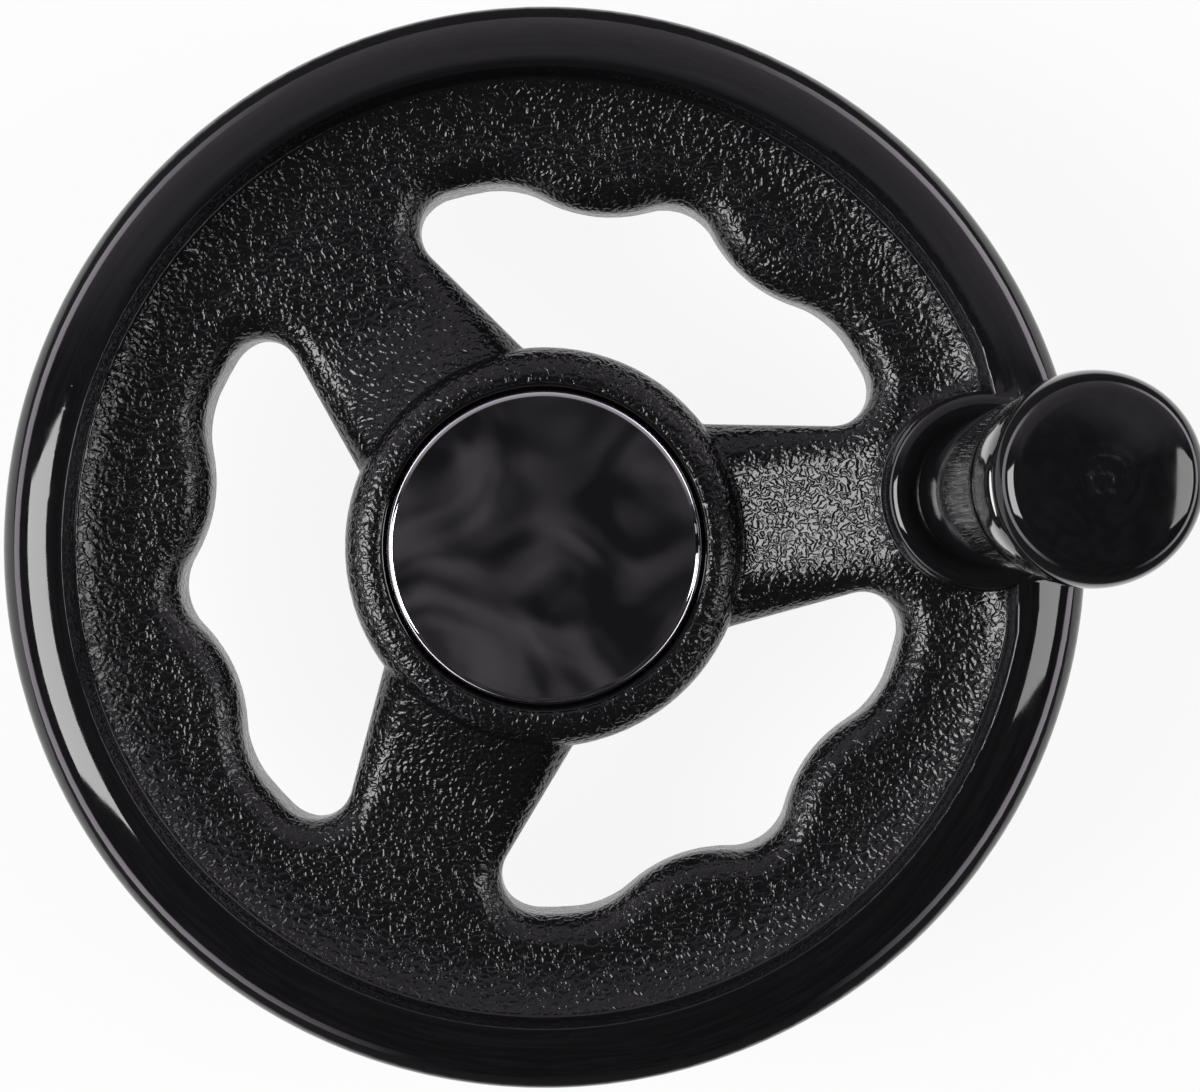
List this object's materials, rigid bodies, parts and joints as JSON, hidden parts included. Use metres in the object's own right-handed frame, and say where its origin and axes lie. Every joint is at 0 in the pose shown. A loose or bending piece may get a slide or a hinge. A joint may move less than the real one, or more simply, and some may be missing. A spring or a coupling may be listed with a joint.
{
  "type": "handwheel",
  "caption": "Spoked machine handwheel with finger waves inside its rim, a bright snap-in hub cap, a keyed bore and an upright revolving handle.",
  "frame": {"origin": "centre of the hub's back face, on the bore's axis", "axes": "+Z along the bore's axis to the front, the side of the handle; +X along the spoke that carries the handle"},
  "size_m": [0.125, 0.125, 0.1016],
  "materials": {
    "wheel_phenolic": "fine pebble grain on web, spokes and hub; polished rim band and boss",
    "grip_phenolic": "polished",
    "cap_chrome": "bright with faint circular polishing marks",
    "bush_steel": "turned",
    "spindle_steel": "turned and zinc plated",
    "ring_steel": "spring steel",
    "insert_brass": "turned"
  },
  "bodies": {
    "wheel": {"wheel_body": "wheel_phenolic", "hub_bush": "bush_steel", "hub_cap": "cap_chrome", "handle_insert": "insert_brass", "handle_spindle": "spindle_steel", "retaining_ring": "ring_steel"},
    "grip": {"handle_grip": "grip_phenolic"}
  },
  "joints": [
    {"name": "grip_spin", "type": "hinge", "parent": "wheel", "child": "grip", "pos_m": [0.0508, 0, 0.0702], "axis": [0, 0, 1], "continuous": true}
  ]
}
